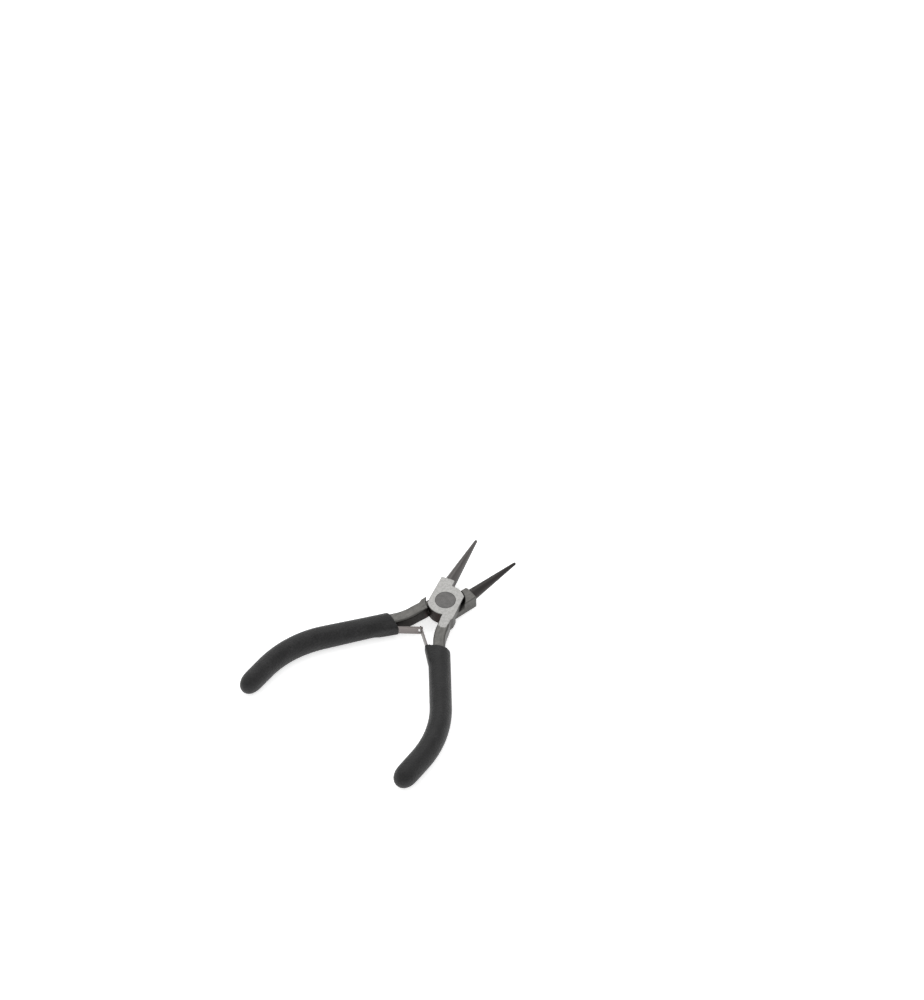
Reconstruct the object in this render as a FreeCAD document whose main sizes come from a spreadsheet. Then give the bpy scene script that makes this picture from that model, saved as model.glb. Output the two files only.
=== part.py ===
import FreeCAD, Part
import math
import os

import Sketcher

# Round nose pliers with a lap joint, in millimetres. The origin is on the pivot axis, on the back face of the
# joint. +Y runs to the jaws, +X to the right, +Z out of the front face. The stored pose is half open.
#
# Each half is drawn closed, in its own frame: mid-plane at z = 0, pivot at the origin, jaw on the left of the
# centreline and handle on the right. The rear half is the same forging turned over about its length.

DIMENSIONS = {
    # pose
    "rest_half_angle": 15.0,
    # joint
    "joint_thickness": 6.2,
    "joint_half_width": 6.05,
    "front_shoulder_half_width": 5.6,
    "rear_shoulder_half_width": 6.05,
    "shoulder_end": 10.3,
    "shoulder_corner": 0.9,
    "closing_gap": 0.05,
    "jaw_lap_radius": 7.42,
    "handle_lap_radius": 7.05,
    "recess_radius": 7.6,
    "lap_gap": 0.04,
    "face_bevel": 0.18,
    # jaws
    "jaw_taper": 4.49,
    "jaw_base_radius": 2.5,
    "jaw_tip_radius": 0.6,
    "jaw_base": 9.2,
    # neck and tang
    "neck_inner": 1.35,
    "neck_outer": 5.4,
    "neck_corner": 7.0,
    "head_end": 8.6,
    "neck_centre": 3.7,
    "neck_end": 12.0,
    "neck_overlap": 0.3,
    "neck_corner_radius": 0.3,
    "tang_width": 4.6,
    "tang_height": 5.9,
    "tang_corner_radius": 0.7,
    "neck_bend_radius": 20.0,
    "handle_splay": 22.95,
    "handle_straight": 28.9,
    "handle_bend_radius": 42.0,
    "handle_end_tilt": 14.0,
    "tang_end_run": 6.0,
    # rivet
    "rivet_head_radius": 3.95,
    "rivet_shank_radius": 2.4,
    "rivet_head_edge": 0.25,
    "rivet_head_depth": 1.5,
    "bore_overhang": 0.2,
    "running_clearance": 0.05,
    "held_clearance": 0.01,
    # leaf springs
    "leaf_width": 4.0,
    "leaf_thickness": 0.55,
    "front_leaf_angle": 126.25,
    "rear_leaf_angle": 130.2,
    "leaf_meeting_x": 3.988,
    "leaf_meeting_y": 14.885,
    "front_leaf_length": 17.13,
    "rear_leaf_length": 13.29,
    "leaf_tab_length": 5.6,
    "leaf_tab_gap": 0.12,
    "fork_reach": 0.6,
    "fork_depth": 1.7,
    "fork_slot": 1.9,
    "tee_shoulder": 0.75,
    "tee_neck_width": 1.3,
    "tee_neck_end": 0.75,
    "tee_head_width": 2.7,
    "tee_head_end": 1.25,
    # leaf rivets
    "leaf_rivet_head_radius": 1.1,
    "leaf_rivet_head_height": 0.5,
    "leaf_rivet_shank_radius": 0.7,
    "leaf_rivet_length": 2.2,
    "leaf_rivet_place": 3.08,
    "leaf_rivet_clearance": 0.15,
    # grips
    "grip_width": 8.7,
    "grip_height": 8.9,
    "grip_corner_radius": 4.0,
    "grip_end_run": 14.0,
    "grip_end_radius": 3.9,
    "grip_clearance": 0.05,
    "grip_mouth_x": 5.8,
    "grip_mouth_y": 21.8,
    "grip_mouth_tilt": 11.5,
    "flare_height": 6.4,
    "flare_wall": 0.45,
    "flare_start": 19.0,
    "leaf_pocket_gap": 0.15,
    "leaf_pocket_height": 4.6,
}

document = FreeCAD.newDocument("RoundNosePliers")
sheet = document.addObject("Spreadsheet::Sheet", "Sheet")


def fill_sheet():
    """One row per driving dimension: its name, and its value under an alias."""
    for row, (alias, value) in enumerate(DIMENSIONS.items(), start=1):
        sheet.set(f"A{row}", alias)
        sheet.set(f"B{row}", str(value))
        sheet.setAlias(f"B{row}", alias)
    document.recompute()


def cell(alias):
    """The number in the sheet under this alias."""
    return float(sheet.get(alias))


def number(terms):
    """The value of a sum such as "neck_centre - tang_width / 2", read from the sheet."""
    total = 0.0
    sign = 1.0
    words = terms.replace(" / 2", "/2").split()
    for word in words:
        if word in ("+", "-"):
            sign = 1.0 if word == "+" else -1.0
            continue
        name, _, half = word.partition("/")
        size = float(name) if name.replace(".", "").isdigit() else cell(name)
        total += sign * size / (2.0 if half else 1.0)
    return total


def expression(terms):
    """The same sum as a FreeCAD expression on the sheet's aliases."""
    words = []
    for word in terms.split():
        words.append(f"Sheet.{word}" if word[0].isalpha() else word)
    return " ".join(words)


def negative(terms):
    """The same sum with every sign turned round."""
    turned = {"+": "-", "-": "+"}
    return "0 - " + " ".join(turned.get(word, word) for word in terms.split())


# ---------------------------------------------------------------- sketches


def plane(body, role):
    return [feature for feature in body.Origin.OriginFeatures if feature.Role == role][0]


def new_sketch(body, name, role="XY_Plane", offset=None):
    """An empty sketch on one of the body's own origin planes, moved by offset."""
    sketch = body.newObject("Sketcher::SketchObject", name)
    sketch.AttachmentSupport = (plane(body, role), "")
    sketch.MapMode = "FlatFace"
    if offset is not None:
        sketch.AttachmentOffset = offset
    return sketch


def bind(sketch, constraint, terms):
    """Adds a constraint that has a value, and ties its value to the sheet."""
    index = sketch.addConstraint(constraint)
    sketch.setExpression(f"Constraints[{index}]", expression(terms))


def hold_point(sketch, edge, end, x_terms, y_terms):
    """Ties one end of a sketch edge to a place given as two sums of aliases. None leaves that way free."""
    for terms, kind in ((x_terms, "DistanceX"), (y_terms, "DistanceY")):
        if terms is None:
            continue
        bind(sketch, Sketcher.Constraint(kind, -1, 1, edge, end, number(terms)), terms)


def polygon(sketch, corners):
    """A closed outline of straight edges. Each corner is a pair of sums of aliases."""
    points = [FreeCAD.Vector(number(x), number(y), 0) for x, y in corners]
    count = len(points)
    for index in range(count):
        sketch.addGeometry(Part.LineSegment(points[index], points[(index + 1) % count]), False)
    for index in range(count):
        sketch.addConstraint(Sketcher.Constraint("Coincident", index, 2, (index + 1) % count, 1))
    for index, (x_terms, y_terms) in enumerate(corners):
        hold_point(sketch, index, 1, x_terms, y_terms)


def circle(sketch, radius_terms):
    """A circle about the sketch's origin."""
    sketch.addGeometry(Part.Circle(FreeCAD.Vector(), FreeCAD.Vector(0, 0, 1), number(radius_terms)), False)
    sketch.addConstraint(Sketcher.Constraint("Coincident", 0, 3, -1, 1))
    bind(sketch, Sketcher.Constraint("Radius", 0, number(radius_terms)), radius_terms)


def rounded_rectangle(sketch, left, right, half_height, radius):
    """A rectangle with round corners, from left to right, and as far above the x axis as below it."""
    r = number(radius)
    inner = (number(left) + r, number(right) - r)
    reach = number(half_height) - r
    up = FreeCAD.Vector(0, 0, 1)
    corners = ((inner[1], reach, 0), (inner[0], reach, 90), (inner[0], -reach, 180), (inner[1], -reach, 270))
    ends = []
    for x, y, start in corners:
        round_edge = Part.Circle(FreeCAD.Vector(x, y, 0), up, r)
        arc = Part.ArcOfCircle(round_edge, math.radians(start), math.radians(start + 90))
        sketch.addGeometry(arc, False)
        ends.append((arc.StartPoint, arc.EndPoint))
    for index in range(4):
        sketch.addGeometry(Part.LineSegment(ends[index][1], ends[(index + 1) % 4][0]), False)
        sketch.addConstraint(Sketcher.Constraint("Tangent", index, 2, 4 + index, 1))
        sketch.addConstraint(Sketcher.Constraint("Tangent", 4 + index, 2, (index + 1) % 4, 1))
    for index in (1, 2, 3):
        sketch.addConstraint(Sketcher.Constraint("Equal", 0, index))
    sketch.addConstraint(Sketcher.Constraint("Horizontal", 4))
    sketch.addConstraint(Sketcher.Constraint("Vertical", 5))
    bind(sketch, Sketcher.Constraint("Radius", 0, r), radius)
    hold_point(sketch, 0, 1, right, None)
    hold_point(sketch, 1, 2, left, None)
    hold_point(sketch, 0, 2, None, half_height)
    hold_point(sketch, 3, 1, None, negative(half_height))


def worked_out_outline(sketch, points):
    """A closed outline through points that the functions above work out from the sheet."""
    count = len(points)
    for index in range(count):
        sketch.addGeometry(Part.LineSegment(points[index], points[(index + 1) % count]), False)
    for index in range(count):
        sketch.addConstraint(Sketcher.Constraint("Coincident", index, 2, (index + 1) % count, 1))
        sketch.addConstraint(Sketcher.Constraint("Block", index))


def handle_directions():
    """Along the handle's straight run towards its end, and out from it, away from the centreline."""
    splay = math.radians(cell("handle_splay"))
    along = FreeCAD.Vector(math.sin(splay), -math.cos(splay), 0)
    outward = FreeCAD.Vector(math.cos(splay), math.sin(splay), 0)
    return along, outward


def straight_run_start():
    """Where the neck's bend ends and the handle's straight run begins."""
    _, outward = handle_directions()
    bend_centre = FreeCAD.Vector(cell("neck_centre") + cell("neck_bend_radius"), -cell("neck_end"), 0)
    return bend_centre - outward * cell("neck_bend_radius")


def handle_path(sketch, with_neck, end_run):
    """The centreline of the handle: the neck's bend if asked for, a straight run, the long bend and an end run."""
    along, outward = handle_directions()
    splay = math.radians(cell("handle_splay"))
    tilt = math.radians(cell("handle_end_tilt"))
    up = FreeCAD.Vector(0, 0, 1)
    begin = straight_run_start()
    neck_r = cell("neck_bend_radius")
    bend_r = cell("handle_bend_radius")
    straight_end = begin + along * cell("handle_straight")
    bend_centre = straight_end - outward * bend_r
    bend_end = bend_centre + FreeCAD.Vector(math.cos(tilt), -math.sin(tilt), 0) * bend_r
    last = bend_end - FreeCAD.Vector(math.sin(tilt), math.cos(tilt), 0) * cell(end_run)
    if with_neck:
        neck_circle = Part.Circle(begin + outward * neck_r, up, neck_r)
        sketch.addGeometry(Part.ArcOfCircle(neck_circle, math.pi, math.pi + splay), False)
    run = 1 if with_neck else 0
    bend = run + 1
    tail = run + 2
    sketch.addGeometry(Part.LineSegment(begin, straight_end), False)
    sketch.addGeometry(Part.ArcOfCircle(Part.Circle(bend_centre, up, bend_r), -tilt, splay), False)
    sketch.addGeometry(Part.LineSegment(bend_end, last), False)
    if with_neck:
        hold_point(sketch, 0, 1, "neck_centre", "0 - neck_end")
        hold_point(sketch, 0, 3, None, "0 - neck_end")
        bind(sketch, Sketcher.Constraint("Radius", 0, neck_r), "neck_bend_radius")
        sketch.addConstraint(Sketcher.Constraint("Tangent", 0, 2, run, 1))
    else:
        sketch.addConstraint(Sketcher.Constraint("DistanceX", -1, 1, run, 1, begin.x))
        formula = "Sheet.neck_centre + Sheet.neck_bend_radius * (1 - cos(Sheet.handle_splay * 1 deg))"
        sketch.setExpression(f"Constraints[{sketch.ConstraintCount - 1}]", formula)
        sketch.addConstraint(Sketcher.Constraint("DistanceY", -1, 1, run, 1, begin.y))
        formula = "0 - Sheet.neck_end - Sheet.neck_bend_radius * sin(Sheet.handle_splay * 1 deg)"
        sketch.setExpression(f"Constraints[{sketch.ConstraintCount - 1}]", formula)
    sketch.addConstraint(Sketcher.Constraint("Tangent", run, 2, bend, 2))
    sketch.addConstraint(Sketcher.Constraint("Tangent", bend, 1, tail, 1))
    bind(sketch, Sketcher.Constraint("Distance", run, cell("handle_straight")), "handle_straight")
    bind(sketch, Sketcher.Constraint("Radius", bend, bend_r), "handle_bend_radius")
    bind(sketch, Sketcher.Constraint("Distance", tail, cell(end_run)), end_run)
    if not with_neck:
        sketch.addConstraint(Sketcher.Constraint("Angle", run, splay - math.pi / 2))
        sketch.setExpression(f"Constraints[{sketch.ConstraintCount - 1}]", "(Sheet.handle_splay - 90) * 1 deg")
    sketch.addConstraint(Sketcher.Constraint("Angle", tail, -math.pi / 2 - tilt))
    sketch.setExpression(f"Constraints[{sketch.ConstraintCount - 1}]", "(0 - 90 - Sheet.handle_end_tilt) * 1 deg")
    return [f"Edge{index}" for index in range(1, tail + 2)]


# ---------------------------------------------------------------- features


def pad(body, name, sketch, thickness_terms):
    """A pad that reaches as far to both sides of its sketch."""
    feature = body.newObject("PartDesign::Pad", name)
    feature.Profile = sketch
    feature.Midplane = True
    feature.Length = number(thickness_terms)
    feature.setExpression("Length", expression(thickness_terms))


def cut(body, name, sketch, depth_terms, both_ways=True):
    """A pocket, checked to have taken something away."""
    document.recompute()
    before = body.Shape.Volume
    feature = body.newObject("PartDesign::Pocket", name)
    feature.Profile = sketch
    feature.Midplane = both_ways
    feature.Length = number(depth_terms)
    feature.setExpression("Length", expression(depth_terms))
    document.recompute()
    if body.Shape.Volume >= before - 1e-6:
        raise RuntimeError(f"{name} cuts nothing")


def corner_cut(body, name, edge_x, radius, side):
    """Takes away a quarter of the head outside a lap arc, from the edge at x = edge_x outwards.

    side is 1 for the upper right quarter and -1 for the lower left one."""
    sketch = new_sketch(body, name + "_sketch")
    r = cell(radius)
    x0 = number(edge_x)
    far = 3 * r
    start = math.atan2(math.sqrt(r * r - x0 * x0) * side, x0)
    first, last = (0.0, start) if side > 0 else (-math.pi, start)
    up = FreeCAD.Vector(0, 0, 1)
    sketch.addGeometry(Part.ArcOfCircle(Part.Circle(FreeCAD.Vector(), up, r), first, last), False)
    on_axis = FreeCAD.Vector(side * r, 0, 0)
    on_edge = FreeCAD.Vector(x0, side * math.sqrt(r * r - x0 * x0), 0)
    corners = [
        on_axis,
        FreeCAD.Vector(side * far, 0, 0),
        FreeCAD.Vector(side * far, side * far, 0),
        FreeCAD.Vector(x0, side * far, 0),
        on_edge,
    ]
    for index in range(4):
        sketch.addGeometry(Part.LineSegment(corners[index], corners[index + 1]), False)
    sketch.addConstraint(Sketcher.Constraint("Coincident", 0, 3, -1, 1))
    sketch.addConstraint(Sketcher.Constraint("Coincident", 0, 1, 1, 1))
    for index in (1, 2, 3):
        sketch.addConstraint(Sketcher.Constraint("Coincident", index, 2, index + 1, 1))
    sketch.addConstraint(Sketcher.Constraint("Coincident", 4, 2, 0, 2))
    sketch.addConstraint(Sketcher.Constraint("PointOnObject", 1, 1, -1))
    for index, way in ((1, "Horizontal"), (2, "Vertical"), (3, "Horizontal"), (4, "Vertical")):
        sketch.addConstraint(Sketcher.Constraint(way, index))
    bind(sketch, Sketcher.Constraint("Radius", 0, r), radius)
    hold_point(sketch, 4, 1, edge_x, None)
    sketch.addConstraint(Sketcher.Constraint("DistanceX", -1, 1, 2, 1, side * far))
    sketch.addConstraint(Sketcher.Constraint("DistanceY", -1, 1, 2, 2, side * far))
    cut(body, name, sketch, "joint_thickness + joint_thickness")


def edge_names(shape, wanted):
    """Names of the edges that wanted(edge) picks."""
    return [f"Edge{index}" for index, edge in enumerate(shape.Edges, start=1) if wanted(edge)]


def dress(body, kind, name, wanted, size_terms):
    """A fillet or chamfer on the edges that wanted picks."""
    document.recompute()
    base = body.Tip
    names = edge_names(base.Shape, wanted)
    if not names:
        raise RuntimeError(f"{name} has no edges")
    feature = body.newObject(f"PartDesign::{kind}", name)
    feature.Base = (base, names)
    size = "Radius" if kind == "Fillet" else "Size"
    setattr(feature, size, number(size_terms))
    feature.setExpression(size, expression(size_terms))
    document.recompute()


def shifted(x, y, degrees):
    """A sketch placement on a plane: moved to (x, y) and turned about the plane's normal."""
    turn = FreeCAD.Rotation(FreeCAD.Vector(0, 0, 1), degrees)
    return FreeCAD.Placement(FreeCAD.Vector(x, y, 0), turn)


def new_body(name):
    body = document.addObject("PartDesign::Body", name)
    body.Label = name
    return body


# ---------------------------------------------------------------- the forged halves


def add_head(body, side):
    """The joint block with its two lap arcs."""
    shoulder = f"{side}_shoulder_half_width"
    sketch = new_sketch(body, "head_outline")
    polygon(
        sketch,
        [
            (f"0 - {shoulder}", "shoulder_end"),
            ("joint_half_width", "shoulder_end"),
            ("joint_half_width", "0 - neck_corner"),
            ("neck_outer", "0 - head_end"),
            ("0 - joint_half_width", "0 - head_end"),
            ("0 - joint_half_width", "0"),
        ],
    )
    pad(body, "head", sketch, "joint_thickness")
    corner_cut(body, "jaw_side_lap", "0 - closing_gap", "jaw_lap_radius", 1)
    corner_cut(body, "handle_side_lap", "neck_inner", "handle_lap_radius", -1)


def bevel_faces(body):
    """Rounds the shoulder's inner corner, and breaks the outline's edges on both ground faces."""
    top = cell("joint_thickness") / 2
    nose = FreeCAD.Vector(-cell("closing_gap"), cell("shoulder_end"), 0)

    def inner_corner(edge):
        middle = edge.CenterOfMass
        return abs(middle.x - nose.x) < 0.01 and abs(middle.y - nose.y) < 0.01

    def on_a_face(edge):
        box = edge.BoundBox
        level = box.ZLength < 1e-6 and abs(abs(box.ZMin) - top) < 1e-6
        at_neck = box.YMax < 1e-6 - cell("head_end")
        return level and not at_neck

    dress(body, "Fillet", "shoulder_corner", inner_corner, "shoulder_corner")
    dress(body, "Chamfer", "face_edges", on_a_face, "face_bevel")


def add_jaw(body):
    """The cone jaw, whose inner side is parallel to the centreline when closed, with a rounded tip."""
    taper = math.radians(cell("jaw_taper"))
    base_r = cell("jaw_base_radius")
    tip_r = cell("jaw_tip_radius")
    base_x = -cell("closing_gap") - base_r * math.cos(taper)
    sketch = new_sketch(body, "jaw_profile", offset=shifted(base_x, cell("jaw_base"), -cell("jaw_taper")))
    length = (base_r - tip_r) / math.tan(taper)
    points = [FreeCAD.Vector(), FreeCAD.Vector(base_r, 0, 0), FreeCAD.Vector(tip_r, length, 0)]
    sketch.addGeometry(Part.LineSegment(points[0], points[1]), False)
    sketch.addGeometry(Part.LineSegment(points[1], points[2]), False)
    cap_r = tip_r / math.cos(taper)
    cap_centre = FreeCAD.Vector(0, length - tip_r * math.tan(taper), 0)
    cap = Part.Circle(cap_centre, FreeCAD.Vector(0, 0, 1), cap_r)
    sketch.addGeometry(Part.ArcOfCircle(cap, taper, math.pi / 2), False)
    sketch.addGeometry(Part.LineSegment(cap_centre + FreeCAD.Vector(0, cap_r, 0), points[0]), False)
    sketch.addConstraint(Sketcher.Constraint("Coincident", 0, 1, -1, 1))
    sketch.addConstraint(Sketcher.Constraint("Coincident", 0, 2, 1, 1))
    sketch.addConstraint(Sketcher.Constraint("Tangent", 1, 2, 2, 1))
    sketch.addConstraint(Sketcher.Constraint("Coincident", 2, 2, 3, 1))
    sketch.addConstraint(Sketcher.Constraint("Coincident", 3, 2, 0, 1))
    sketch.addConstraint(Sketcher.Constraint("PointOnObject", 2, 3, -2))
    sketch.addConstraint(Sketcher.Constraint("Horizontal", 0))
    sketch.addConstraint(Sketcher.Constraint("Vertical", 3))
    bind(sketch, Sketcher.Constraint("Distance", 0, base_r), "jaw_base_radius")
    hold_point(sketch, 1, 2, "jaw_tip_radius", None)
    sketch.addConstraint(Sketcher.Constraint("DistanceY", -1, 1, 1, 2, length))
    last = sketch.ConstraintCount - 1
    run = "(Sheet.jaw_base_radius - Sheet.jaw_tip_radius) / tan(Sheet.jaw_taper * 1 deg)"
    sketch.setExpression(f"Constraints[{last}]", run)
    jaw = body.newObject("PartDesign::Revolution", "jaw")
    jaw.Profile = sketch
    jaw.ReferenceAxis = (sketch, ["V_Axis"])
    jaw.Angle = 360
    document.recompute()


def add_neck_and_tang(body):
    """The neck lofted from the square head to the rounded tang, and the tang along the handle's line."""
    start = new_sketch(body, "neck_start", "XZ_Plane")
    inside_head = cell("head_end") - cell("neck_overlap")
    start.AttachmentOffset = FreeCAD.Placement(FreeCAD.Vector(0, 0, inside_head), FreeCAD.Rotation())
    rounded_rectangle(start, "neck_inner", "neck_outer", "joint_thickness / 2", "neck_corner_radius")
    end = new_sketch(body, "neck_finish", "XZ_Plane")
    end.AttachmentOffset = FreeCAD.Placement(FreeCAD.Vector(0, 0, cell("neck_end")), FreeCAD.Rotation())
    tang_sides = ("neck_centre - tang_width / 2", "neck_centre + tang_width / 2")
    rounded_rectangle(end, *tang_sides, "tang_height / 2", "tang_corner_radius")
    neck = body.newObject("PartDesign::AdditiveLoft", "neck")
    neck.Profile = start
    neck.Sections = [end]
    document.recompute()
    path = new_sketch(body, "tang_path")
    edges = handle_path(path, True, "tang_end_run")
    tang = body.newObject("PartDesign::AdditivePipe", "tang")
    tang.Profile = end
    tang.Spine = (path, edges)
    document.recompute()


def rivet_profile(sketch, clearance=None):
    """Half the section of the joint rivet, or of its bore: larger by the clearance, and past both faces."""
    over = "bore_overhang" if clearance else "0"
    grow = f" + {clearance}" if clearance else ""
    head = f"rivet_head_radius{grow}"
    shank = f"rivet_shank_radius{grow}"
    top = f"joint_thickness / 2 + {over}"
    rim = "joint_thickness / 2 - rivet_head_edge"
    root = "joint_thickness / 2 - rivet_head_depth"
    polygon(
        sketch,
        [
            ("0", top),
            (head, top),
            (head, rim),
            (shank, root),
            (shank, "rivet_head_depth - joint_thickness / 2"),
            (head, "rivet_head_edge - joint_thickness / 2"),
            (head, f"0 - joint_thickness / 2 - {over}"),
            ("0", f"0 - joint_thickness / 2 - {over}"),
        ],
    )


def bore_for_rivet(body, clearance):
    """The countersunk bore through the joint."""
    sketch = new_sketch(body, "bore_section", "XZ_Plane")
    rivet_profile(sketch, clearance)
    document.recompute()
    before = body.Shape.Volume
    bore = body.newObject("PartDesign::Groove", "bore")
    bore.Profile = sketch
    bore.ReferenceAxis = (sketch, ["V_Axis"])
    bore.Angle = 360
    document.recompute()
    if body.Shape.Volume >= before:
        raise RuntimeError("bore cuts nothing")


def recess(body):
    """Half the joint's thickness is taken away inside the recess radius, so that the other lap fits there."""
    sketch = new_sketch(body, "recess_circle")
    sketch.AttachmentOffset = FreeCAD.Placement(FreeCAD.Vector(0, 0, cell("lap_gap") / 2), FreeCAD.Rotation())
    circle(sketch, "recess_radius")
    cut(body, "recess", sketch, "joint_thickness", both_ways=False)
    if not body.Shape.isInside(FreeCAD.Vector(0, 0, cell("joint_thickness") / 4), 1e-6, True):
        raise RuntimeError("the recess is on the wrong side")


def leaf_frame(side):
    """Where the leaf's straight run meets the tang's inner side, and the two directions there."""
    angle = math.radians(cell(f"{side}_leaf_angle"))
    towards_tip = FreeCAD.Vector(math.cos(angle), math.sin(angle), 0)
    meeting = FreeCAD.Vector(-cell("leaf_meeting_x"), -cell("leaf_meeting_y"), 0)
    root = meeting - towards_tip * cell(f"{side}_leaf_length")
    return root, towards_tip, meeting


def tang_inner_side(side):
    """A point on the tang's inner side beside the leaf's root, with the directions along and away from it."""
    along, outward = handle_directions()
    root, _, _ = leaf_frame(side)
    on_line = straight_run_start()
    reach = (root - on_line).dot(along)
    surface = on_line + along * reach - outward * (cell("tang_width") / 2)
    return surface, along, -outward


def leaf_rivet_placement(side, height):
    """The spring rivet's axis, square to the tang's inner side, through the middle of the leaf's tab."""
    surface, along, inward = tang_inner_side(side)
    base = surface + along * cell("leaf_rivet_place") + inward * height
    turn = FreeCAD.Rotation(FreeCAD.Vector(0, 0, 1), inward)
    return FreeCAD.Placement(base, turn)


def hole_for_leaf_rivet(body, side):
    """A blind hole in the tang for the spring rivet's shank."""
    place = leaf_rivet_placement(side, 0)
    hole = body.newObject("PartDesign::SubtractiveCylinder", "leaf_rivet_hole")
    hole.AttachmentSupport = (plane(body, "XY_Plane"), "")
    hole.MapMode = "FlatFace"
    hole.setExpression("Radius", expression("leaf_rivet_shank_radius + held_clearance"))
    hole.setExpression("Height", expression("leaf_rivet_length + leaf_rivet_length"))
    axis = place.Rotation.multVec(FreeCAD.Vector(0, 0, 1))
    hole.AttachmentOffset = FreeCAD.Placement(place.Base - axis * cell("leaf_rivet_length"), place.Rotation)
    document.recompute()


def make_half(name, side, clearance):
    body = new_body(name)
    add_head(body, side)
    recess(body)
    bevel_faces(body)
    add_jaw(body)
    add_neck_and_tang(body)
    bore_for_rivet(body, clearance)
    hole_for_leaf_rivet(body, side)
    return body


# ---------------------------------------------------------------- rivets


def make_pivot_rivet():
    body = new_body("pivot_rivet")
    sketch = new_sketch(body, "rivet_section", "XZ_Plane")
    rivet_profile(sketch)
    rivet = body.newObject("PartDesign::Revolution", "rivet")
    rivet.Profile = sketch
    rivet.ReferenceAxis = (sketch, ["V_Axis"])
    rivet.Angle = 360
    return body


def make_leaf_rivet(name):
    """Drawn along +Z: shank from -length to the head's underside, head above the leaf's tab."""
    body = new_body(name)
    sketch = new_sketch(body, "leaf_rivet_section", "XZ_Plane")
    under = "leaf_tab_gap + leaf_thickness + leaf_tab_gap"
    polygon(
        sketch,
        [
            ("0", "0 - leaf_rivet_length"),
            ("leaf_rivet_shank_radius", "0 - leaf_rivet_length"),
            ("leaf_rivet_shank_radius", under),
            ("leaf_rivet_head_radius", under),
            ("leaf_rivet_head_radius", f"{under} + leaf_rivet_head_height"),
            ("0", f"{under} + leaf_rivet_head_height"),
        ],
    )
    rivet = body.newObject("PartDesign::Revolution", "leaf_rivet")
    rivet.Profile = sketch
    rivet.ReferenceAxis = (sketch, ["V_Axis"])
    rivet.Angle = 360
    return body


# ---------------------------------------------------------------- leaf springs


def leaf_strip(body, name, place, start_terms, end_terms, width_terms):
    """A strip on edge, from start to end along the sketch's x, centred on it."""
    sketch = new_sketch(body, name + "_outline", offset=place)
    polygon(
        sketch,
        [
            (start_terms, "0 - leaf_thickness / 2"),
            (end_terms, "0 - leaf_thickness / 2"),
            (end_terms, "leaf_thickness / 2"),
            (start_terms, "leaf_thickness / 2"),
        ],
    )
    pad(body, name, sketch, width_terms)


def add_leaf_tab(body, side):
    """The leaf's root, flat against the tang's inner side, with a hole for its rivet."""
    surface, along, inward = tang_inner_side(side)
    centre = surface + inward * (cell("leaf_tab_gap") + cell("leaf_thickness") / 2)
    place = shifted(centre.x, centre.y, cell("handle_splay") - 90)
    leaf_strip(body, "tab", place, "0 - leaf_thickness / 2", "leaf_tab_length", "leaf_width")
    rivet_place = leaf_rivet_placement(side, 0)
    hole = body.newObject("PartDesign::SubtractiveCylinder", "tab_hole")
    hole.AttachmentSupport = (plane(body, "XY_Plane"), "")
    hole.MapMode = "FlatFace"
    hole.setExpression("Radius", expression("leaf_rivet_shank_radius + leaf_rivet_clearance"))
    hole.setExpression("Height", expression("leaf_width"))
    axis = rivet_place.Rotation.multVec(FreeCAD.Vector(0, 0, 1))
    hole.AttachmentOffset = FreeCAD.Placement(rivet_place.Base - axis, rivet_place.Rotation)
    document.recompute()


def leaf_place(side):
    """The leaf's own line: x runs to its tip, with zero where the two leaves cross."""
    _, _, meeting = leaf_frame(side)
    return shifted(meeting.x, meeting.y, cell(f"{side}_leaf_angle"))


def make_front_leaf():
    """The leaf with a narrow neck and a T-head, which hooks through the other leaf's fork."""
    body = new_body("front_leaf_spring")
    place = leaf_place("front")
    leaf_strip(body, "blade", place, "0 - front_leaf_length", "0 - tee_shoulder", "leaf_width")
    leaf_strip(body, "tee_neck", place, "0 - tee_shoulder - tee_shoulder", "tee_head_end", "tee_neck_width")
    leaf_strip(body, "tee_head", place, "tee_neck_end", "tee_head_end", "tee_head_width")
    document.recompute()
    add_leaf_tab(body, "front")
    return body


def make_rear_leaf():
    """The leaf with two prongs at its tip."""
    body = new_body("rear_leaf_spring")
    place = leaf_place("rear")
    leaf_strip(body, "blade", place, "0 - rear_leaf_length", "fork_reach", "leaf_width")
    sketch = new_sketch(body, "fork_outline", offset=place)
    polygon(
        sketch,
        [
            ("fork_reach - fork_depth", "0 - leaf_thickness"),
            ("fork_reach + fork_depth", "0 - leaf_thickness"),
            ("fork_reach + fork_depth", "leaf_thickness"),
            ("fork_reach - fork_depth", "leaf_thickness"),
        ],
    )
    cut(body, "fork", sketch, "fork_slot")
    add_leaf_tab(body, "rear")
    return body


# ---------------------------------------------------------------- grips


def side_of_leaf(side, distance):
    """A line beside the leaf's blade, that far out from its middle: its point at the crossing, and its way down."""
    _, towards_tip, meeting = leaf_frame(side)
    outer = FreeCAD.Vector(-towards_tip.y, towards_tip.x, 0)
    return meeting + outer * distance, -towards_tip


def across_handle():
    """Puts a sketch on the XZ plane square across the start of the handle's straight run."""
    begin = straight_run_start()
    turn = FreeCAD.Rotation(FreeCAD.Vector(0, 1, 0), cell("handle_splay"))
    return FreeCAD.Placement(FreeCAD.Vector(begin.x, 0, -begin.y), turn)


def add_sleeve(body):
    """The sleeve along the handle, with a rounded end."""
    path = new_sketch(body, "grip_path")
    edges = handle_path(path, False, "grip_end_run")
    section = new_sketch(body, "grip_section", "XZ_Plane", across_handle())
    sides = ("0 - grip_width / 2", "grip_width / 2")
    rounded_rectangle(section, *sides, "grip_height / 2", "grip_corner_radius")
    document.recompute()
    sleeve = body.newObject("PartDesign::AdditivePipe", "sleeve")
    sleeve.Profile = section
    sleeve.Spine = (path, edges)
    document.recompute()


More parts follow.
